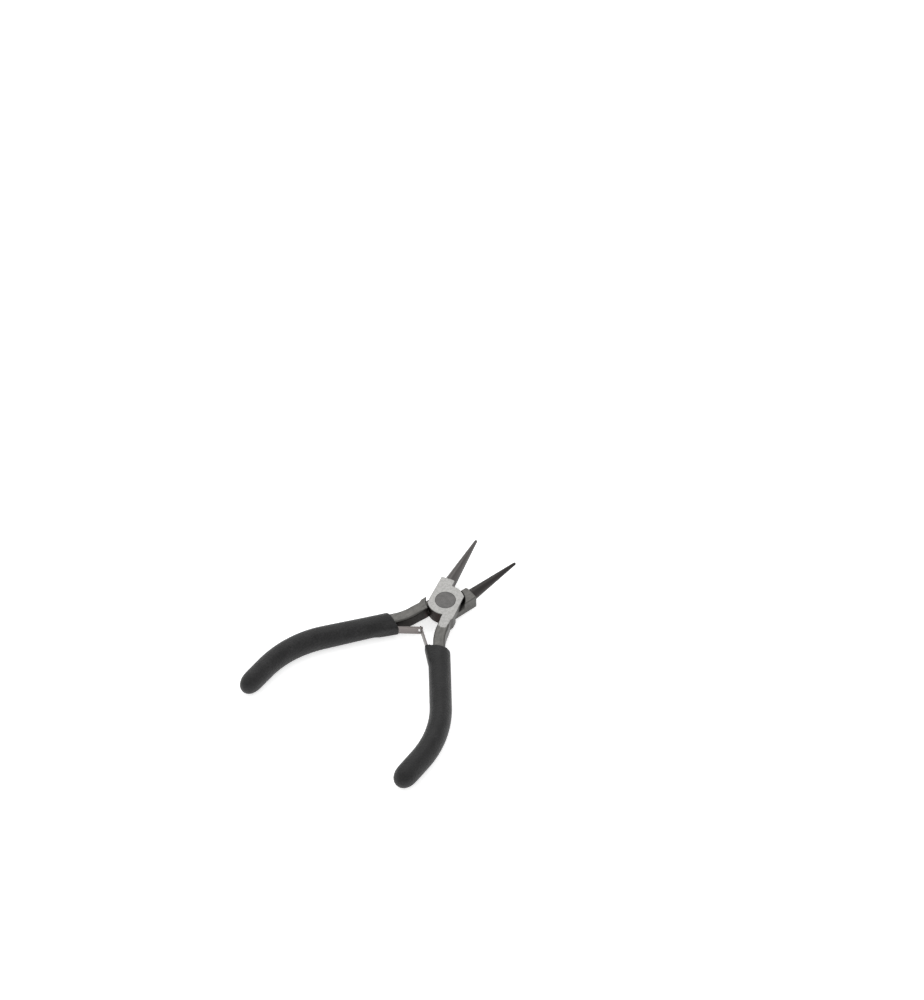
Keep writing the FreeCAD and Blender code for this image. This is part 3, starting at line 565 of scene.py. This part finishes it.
def floor_paper(stage):
    """Plain pale paper."""
    material, tree, surface = new_material("floor_paper")
    place = tree.nodes.new("ShaderNodeTexCoord").outputs["Object"]
    level = plus(tree, multiply(tree, noise(tree, place, 2.0), 0.02), 0.99)
    connect(tree, surface.inputs["Base Color"], shade(tree, stage.floor, level))
    surface.inputs["Roughness"].default_value = 0.9
    surface.inputs["Specular IOR Level"].default_value = 0.1
    surface.inputs["Emission Color"].default_value = (1.0, 1.0, 1.0, 1.0)
    surface.inputs["Emission Strength"].default_value = stage.glow
    return material


# ---------------------------------------------------------------- grips


def handle_line(handle, reach):
    """The handle's centreline in the closed frame, as a curve that starts where the straight run does."""
    along = Vector((math.sin(handle.splay), -math.cos(handle.splay), 0))
    outward = Vector((math.cos(handle.splay), math.sin(handle.splay), 0))
    start = Vector((handle.neck_x + handle.neck_bend, -handle.neck_end, 0)) - outward * handle.neck_bend
    bend_start = start + along * handle.straight
    centre = bend_start - outward * handle.bend
    tilt = handle.end_tilt
    bend_end = centre + Vector((math.cos(tilt), -math.sin(tilt), 0)) * handle.bend
    last_way = Vector((-math.sin(tilt), -math.cos(tilt), 0))
    turn = handle.splay + tilt
    end = bend_end + last_way * (reach - handle.straight - handle.bend * turn)
    pull = 4 / 3 * math.tan(turn / 4) * handle.bend
    line = bpy.data.curves.new("handle_line", "CURVE")
    line.dimensions = "3D"
    line.twist_mode = "Z_UP"
    line.resolution_u = 64
    spline = line.splines.new("BEZIER")
    spline.bezier_points.add(3)
    stops = (
        (start, along, handle.straight / 3, handle.straight / 3),
        (bend_start, along, handle.straight / 3, pull),
        (bend_end, last_way, pull, (end - bend_end).length / 3),
        (end, last_way, (end - bend_end).length / 3, 0.001),
    )
    for point, (place, way, before, after) in zip(spline.bezier_points, stops):
        point.handle_left_type = "FREE"
        point.handle_right_type = "FREE"
        point.co = place
        point.handle_left = place - way * before
        point.handle_right = place + way * after
    guide = bpy.data.objects.new("handle_line", line)
    bpy.context.scene.collection.objects.link(guide)
    return guide


def between(stops, at):
    """A value that goes smoothly through (place, value) stops."""
    if at <= stops[0][0]:
        return stops[0][1]
    for (low, first), (high, second) in zip(stops, stops[1:]):
        if at <= high:
            share = (at - low) / (high - low)
            share = share * share * (3 - 2 * share)
            return first + (second - first) * share
    return stops[-1][1]


SLEEVE_START = -0.003  # ahead of the mouth, which is cut off later
NEAR = 0.0001


def straight_sleeve(grip, reach, end_width):
    """The sleeve before it is bent: along +X, inner side towards -Y, up to its closed end."""
    heights = (
        (0.005, grip.front_height),
        (reach * 0.5, grip.middle_height),
        (reach * 0.85, grip.end_height),
    )
    widths = ((reach * 0.4, grip.width), (reach * 0.85, end_width))
    begin = SLEEVE_START
    round_start = reach - grip.end_taper
    body_stops = 26
    cap_stops = 12
    places = [begin + (round_start - begin) * i / body_stops for i in range(body_stops + 1)]
    sizes = [1.0] * len(places)
    for i in range(1, cap_stops + 1):
        turn = math.pi / 2 * i / (cap_stops + 0.35)
        places.append(round_start + grip.end_taper * math.sin(turn))
        sizes.append(math.cos(turn) ** 0.9)
    object_mode()
    bpy.ops.object.select_all(action="DESELECT")
    bpy.ops.mesh.primitive_circle_add(
        vertices=64, radius=0.5, fill_type="NGON", location=(begin, 0, 0), rotation=(0, math.pi / 2, 0)
    )
    piece = bpy.context.active_object
    now = (between(widths, begin), between(heights, begin))
    bpy.ops.object.transform_apply(location=False, rotation=True, scale=True)
    piece.scale = (1, now[0], now[1])
    bpy.ops.object.transform_apply(location=True, rotation=True, scale=True)
    bpy.ops.object.mode_set(mode="EDIT")
    bpy.ops.mesh.select_all(action="SELECT")
    for last, place, size in zip(places, places[1:], sizes[1:]):
        then = (between(widths, place) * size, between(heights, place) * size)
        extrude((place - last, 0, 0))
        ratio = (1, then[0] / now[0], then[1] / now[1])
        bpy.ops.transform.resize(value=ratio, center_override=(place, 0, 0))
        now = then
    bpy.ops.mesh.select_all(action="SELECT")
    bpy.ops.mesh.normals_make_consistent(inside=False)
    object_mode()
    return piece


def flare_block(grip, flare):
    """A wedge on the sleeve's inner side that covers the leaf spring's root."""
    inner = -grip.width / 2
    depth = 0.0030
    half_height = 0.0031
    corner = 0.0015
    low = (SLEEVE_START, inner, -half_height)
    piece = box_between("flare", low, (grip.flare_run, inner + depth, half_height))
    lift = flare * (grip.flare_run - SLEEVE_START) / (grip.flare_run - grip.mouth_outer)
    select_edges(piece, lambda a, b: max(a.x, b.x) < SLEEVE_START + NEAR and max(a.y, b.y) < inner + NEAR)
    bpy.ops.transform.translate(value=(0, -lift, 0))
    select_edges(piece, lambda a, b: max(a.y, b.y) < inner + NEAR and abs(a.z - b.z) < NEAR)
    bpy.ops.mesh.bevel(offset=corner, segments=5, affect="EDGES")
    object_mode()
    return piece


def cut_slanted(piece, grip, slant):
    """Cuts the mouth off along its slant, from a place on the sleeve's outer side, and closes it."""
    only(piece)
    bpy.ops.object.mode_set(mode="EDIT")
    bpy.ops.mesh.select_all(action="SELECT")
    square = (math.cos(slant), -math.sin(slant), 0)
    place = (grip.mouth_outer, grip.width / 2, 0)
    bpy.ops.mesh.bisect(plane_co=place, plane_no=square, use_fill=True, clear_inner=True)
    object_mode()


def tang_hollow(handle):
    """What the tang takes out of the sleeve, before the sleeve is bent."""
    gap = 0.0001
    start, first_ring = -0.006, -0.004
    corner = 0.0014
    past_first_ring = 0.0045
    half_width = handle.tang_width / 2 + gap
    half_height = handle.tang_height / 2 + gap
    low = (start, -half_width, -half_height)
    piece = box_between("hollow", low, (first_ring, half_width, half_height))
    select_edges(piece, lambda a, b: abs(a.x - b.x) > 0.001)
    bpy.ops.mesh.bevel(offset=corner, segments=4, affect="EDGES")
    select_faces(piece, lambda face: face.normal.x > 0.9)
    lengthen((handle.tang_end + past_first_ring, 0, 0), 40)
    object_mode()
    return piece


def leaf_root(spring, handle, side):
    """Where the leaf's root is along the handle's line, and the leaf's slope away from the handle there."""
    turn = spring.front_angle if side == "front" else spring.rear_angle
    run = spring.front_length if side == "front" else spring.rear_length
    crossing = Vector((-spring.cross_x, -spring.cross_y))
    root = crossing - Vector((math.cos(turn), math.sin(turn))) * run
    along = Vector((math.sin(handle.splay), -math.cos(handle.splay)))
    outward = Vector((math.cos(handle.splay), math.sin(handle.splay)))
    start = Vector((handle.neck_x + handle.neck_bend, -handle.neck_end)) - outward * handle.neck_bend
    slope = math.tan(turn - handle.splay - math.pi / 2)
    return (root - start).dot(along), slope


def leaf_pocket(spring, handle, side):
    """What the leaf's root takes out of the sleeve: a wedge that opens towards the mouth."""
    root, slope = leaf_root(spring, handle, side)
    gap = 0.0003
    side_gap = 0.00015
    into_hollow = 0.0004
    skin = handle.tang_width / 2 + spring.thickness + gap
    front = -0.004
    low = (front, -skin, -spring.width / 2 - side_gap)
    high = (root + spring.tab, -handle.tang_width / 2 + into_hollow, spring.width / 2 + side_gap)
    piece = box_between("pocket", low, high)
    only(piece)
    bpy.ops.object.mode_set(mode="EDIT")
    bpy.ops.mesh.select_all(action="SELECT")
    bpy.ops.mesh.bisect(plane_co=(root, 0, 0), plane_no=(1, 0, 0))
    select_edges(piece, lambda a, b: max(a.x, b.x) < front + 1e-5 and max(a.y, b.y) < -skin + 1e-5)
    bpy.ops.transform.translate(value=(0, -(root - front) * slope, 0))
    object_mode()
    return piece


def rivet_pocket(spring, handle, side):
    """Room for the head of the leaf's rivet."""
    root, _ = leaf_root(spring, handle, side)
    middle = root + spring.tab * 0.55
    depth = 0.00145
    half = 0.0013
    bottom = -0.002
    reach = handle.tang_width / 2 + depth
    return box_between("rivet_pocket", (middle - half, -reach, -half), (middle + half, bottom, half))


def make_grip(settings, side, material):
    """A foam sleeve, closed at its end, modelled straight and then bent along the handle."""
    grip, handle, spring = settings.grip, settings.handle, settings.spring
    front = side == "front"
    reach = grip.front_reach if front else grip.rear_reach
    flare = grip.front_flare if front else grip.rear_flare
    piece = straight_sleeve(grip, reach, grip.front_end_width if front else grip.rear_end_width)
    piece.name = f"{side}_sleeve"
    combine(piece, flare_block(grip, flare), "UNION")
    use(piece, "REMESH", mode="VOXEL", voxel_size=grip.skin_step)
    use(piece, "SMOOTH", factor=0.5, iterations=40)
    cut_slanted(piece, grip, grip.front_slant if front else grip.rear_slant)
    use(piece, "REMESH", mode="VOXEL", voxel_size=grip.skin_step)
    use(piece, "SMOOTH", factor=0.5, iterations=9)
    combine(piece, tang_hollow(handle), "DIFFERENCE")
    combine(piece, leaf_pocket(spring, handle, side), "DIFFERENCE")
    combine(piece, rivet_pocket(spring, handle, side), "DIFFERENCE")
    guide = handle_line(handle, reach)
    use(piece, "CURVE", object=guide, deform_axis="POS_X")
    bpy.data.objects.remove(guide)
    settle(piece, side)
    bpy.ops.object.shade_smooth_by_angle(angle=math.radians(50))
    dress(piece, material)
    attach(piece, side)
    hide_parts(f"{side}_grip")
    return piece


# ---------------------------------------------------------------- leaf springs


BLANK = 0.001  # length of the first box of a blade
TEE_SHOULDER = 0.00075
TEE_NECK = 0.0015
TEE_HEAD = 0.0005
NECK_SHARE = 0.325  # of the blade's width
HEAD_TO_NECK = 1.35 / 0.65
PRONG_ROOT = 0.0011
PRONG = 0.0017
PRONG_STEPS = 4
HALF_SLOT = 0.00095


def leaf_blank(spring, run, name):
    """The blade on edge: x runs to its tip, with zero where the leaves cross."""
    half_width = spring.width / 2
    half = spring.thickness / 2
    return box_between(name, (-run, -half, -half_width), (-run + BLANK, half, half_width))


def at_tip(face):
    return face.normal.x > 0.9


def hook_tip(piece, run):
    """A narrow neck and a T-head."""
    select_faces(piece, at_tip)
    lengthen((run - BLANK - TEE_SHOULDER, 0, 0), 22)
    for share, part in ((NECK_SHARE, TEE_NECK), (HEAD_TO_NECK, TEE_HEAD)):
        extrude((0, 0, 0))
        bpy.ops.transform.resize(value=(1, 1, share), center_override=(0, 0, 0))
        lengthen((part, 0, 0), 2)
    object_mode()


def fork_tip(piece, run):
    """Two prongs with a slot between them."""
    only(piece)
    bpy.ops.object.mode_set(mode="EDIT")
    for height in (-HALF_SLOT, HALF_SLOT):
        bpy.ops.mesh.select_all(action="SELECT")
        bpy.ops.mesh.bisect(plane_co=(0, 0, height), plane_no=(0, 0, 1))
    select_faces(piece, at_tip)
    lengthen((run - BLANK - PRONG_ROOT, 0, 0), 16)
    select_faces(piece, lambda face: at_tip(face) and abs(face.center.z) > HALF_SLOT)
    lengthen((PRONG, 0, 0), PRONG_STEPS)
    object_mode()


def bend_tab(piece, spring, run, bend):
    """The root's flat, which lies on the tang."""
    select_faces(piece, lambda face: face.normal.x < -0.9 and face.center.x < -run + NEAR)
    bpy.ops.transform.rotate(value=-bend / 2, orient_axis="Z", center_override=(-run, 0, 0))
    extrude(Vector((-math.cos(bend), math.sin(bend), 0)) * spring.tab)
    end = (-run - spring.tab * math.cos(bend), spring.tab * math.sin(bend), 0)
    bpy.ops.transform.rotate(value=-bend / 2, orient_axis="Z", center_override=end)
    object_mode()


def make_leaf(settings, side, material):
    """A leaf spring, bent at its root where its flat lies on the tang."""
    spring, handle = settings.spring, settings.handle
    front = side == "front"
    run = spring.front_length if front else spring.rear_length
    turn = spring.front_angle if front else spring.rear_angle
    piece = leaf_blank(spring, run, f"{side}_leaf")
    if front:
        hook_tip(piece, run)
    else:
        fork_tip(piece, run)
    bend_tab(piece, spring, run, turn - handle.splay - math.pi / 2)
    use(piece, "BEVEL", width=0.00008, segments=2, limit_method="ANGLE", angle_limit=math.radians(40))
    place = Matrix.Translation((-spring.cross_x, -spring.cross_y, 0)) @ Matrix.Rotation(turn, 4, "Z")
    piece.matrix_world = place
    settle(piece, side)
    bpy.ops.object.shade_smooth_by_angle(angle=math.radians(40))
    dress(piece, material)
    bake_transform(piece)
    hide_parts(f"{side}_leaf_spring")
    return piece


# ---------------------------------------------------------------- operators


class PLIERS_OT_halves(bpy.types.Operator):
    """Give both forged halves their steel"""

    bl_idname = "pliers.halves"
    bl_label = "Finish Halves"

    def execute(self, context):
        steel = context.scene.pliers.steel
        for side in SIDES:
            dress(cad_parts[f"{side}_half"], forged_steel(steel, side))
        return {"FINISHED"}


class PLIERS_OT_rivets(bpy.types.Operator):
    """Give the joint rivet and the spring rivets their turned steel"""

    bl_idname = "pliers.rivets"
    bl_label = "Finish Rivets"

    def execute(self, context):
        material = turned_steel(context.scene.pliers.steel)
        for node in ("pivot_rivet", "front_spring_rivet", "rear_spring_rivet"):
            dress(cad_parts[node], material)
        return {"FINISHED"}


class PLIERS_OT_leaf_springs(bpy.types.Operator):
    """Add the two leaf springs that hook into each other"""

    bl_idname = "pliers.leaf_springs"
    bl_label = "Add Leaf Springs"

    def execute(self, context):
        settings = context.scene.pliers
        for side in SIDES:
            make_leaf(settings, side, spring_steel(settings.spring, side))
        return {"FINISHED"}


class PLIERS_OT_grips(bpy.types.Operator):
    """Add the two foam sleeve grips"""

    bl_idname = "pliers.grips"
    bl_label = "Add Grips"

    def execute(self, context):
        settings = context.scene.pliers
        material = foam_skin(settings.grip)
        for side in SIDES:
            make_grip(settings, side, material)
        return {"FINISHED"}


class PLIERS_OT_stage(bpy.types.Operator):
    """Add the floor, the soft light and the camera"""

    bl_idname = "pliers.stage"
    bl_label = "Add Stage"

    def execute(self, context):
        stage = context.scene.pliers.stage
        add_floor(stage)
        add_light(context.scene, stage)
        add_camera(context.scene, stage)
        return {"FINISHED"}


def add_floor(stage):
    object_mode()
    bpy.ops.object.select_all(action="DESELECT")
    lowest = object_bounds()[0].z
    bpy.ops.mesh.primitive_plane_add(size=12.0, location=(0, 0, lowest))
    floor = bpy.context.active_object
    floor.name = "floor"
    dress(floor, floor_paper(stage))
    floor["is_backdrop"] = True


def add_light(scene, stage):
    """A pale sky and one large soft light behind and to the left of the pliers."""
    world = bpy.data.worlds.new("studio")
    world.use_nodes = True
    scene.world = world
    sky = world.node_tree.nodes["Background"]
    sky.inputs["Color"].default_value = (1.0, 1.0, 1.0, 1.0)
    sky.inputs["Strength"].default_value = stage.sky
    lamp = bpy.data.lights.new("key", "AREA")
    lamp.shape = "RECTANGLE"
    lamp.size = 0.9
    lamp.size_y = 0.6
    lamp.energy = stage.key
    key = bpy.data.objects.new("key", lamp)
    scene.collection.objects.link(key)
    place = Vector((-0.75, 0.55, 1.2))
    key.location = place
    key.rotation_mode = "QUATERNION"
    key.rotation_quaternion = (-place).to_track_quat("-Z", "Y")


def add_camera(scene, stage):
    lens = bpy.data.cameras.new("camera")
    lens.sensor_width = 36.0
    lens.lens = 36.0 * stage.distance / stage.view_height
    lens.clip_end = 50.0
    camera = bpy.data.objects.new("camera", lens)
    scene.collection.objects.link(camera)
    side = math.cos(stage.elevation)
    back = Vector(
        (math.sin(stage.azimuth) * side, -math.cos(stage.azimuth) * side, math.sin(stage.elevation))
    )
    camera.location = Vector((stage.look_x, stage.look_y, JOINT_MIDDLE)) + back * stage.distance
    camera.rotation_mode = "QUATERNION"
    camera.rotation_quaternion = (-back).to_track_quat("-Z", "Y")
    scene.camera = camera


class PLIERS_PT_panel(bpy.types.Panel):
    bl_label = "Round Nose Pliers"
    bl_idname = "PLIERS_PT_panel"
    bl_space_type = "VIEW_3D"
    bl_region_type = "UI"
    bl_category = "Pliers"

    def draw(self, context):
        for operator in OPERATORS:
            self.layout.operator(operator.bl_idname)


OPERATORS = (
    PLIERS_OT_halves,
    PLIERS_OT_rivets,
    PLIERS_OT_leaf_springs,
    PLIERS_OT_grips,
    PLIERS_OT_stage,
)
CLASSES = (
    HandleSettings,
    GripSettings,
    SpringSettings,
    SteelSettings,
    StageSettings,
    PliersSettings,
    *OPERATORS,
    PLIERS_PT_panel,
)


def register():
    for item in CLASSES:
        bpy.utils.register_class(item)
    bpy.types.Scene.pliers = bpy.props.PointerProperty(type=PliersSettings)


def unregister():
    del bpy.types.Scene.pliers
    for item in reversed(CLASSES):
        bpy.utils.unregister_class(item)


def main():
    register()
    bpy.context.scene.view_settings.view_transform = "Standard"
    bpy.ops.pliers.halves()
    bpy.ops.pliers.rivets()
    bpy.ops.pliers.leaf_springs()
    bpy.ops.pliers.grips()
    bpy.ops.pliers.stage()


if __name__ == "__main__":
    main()
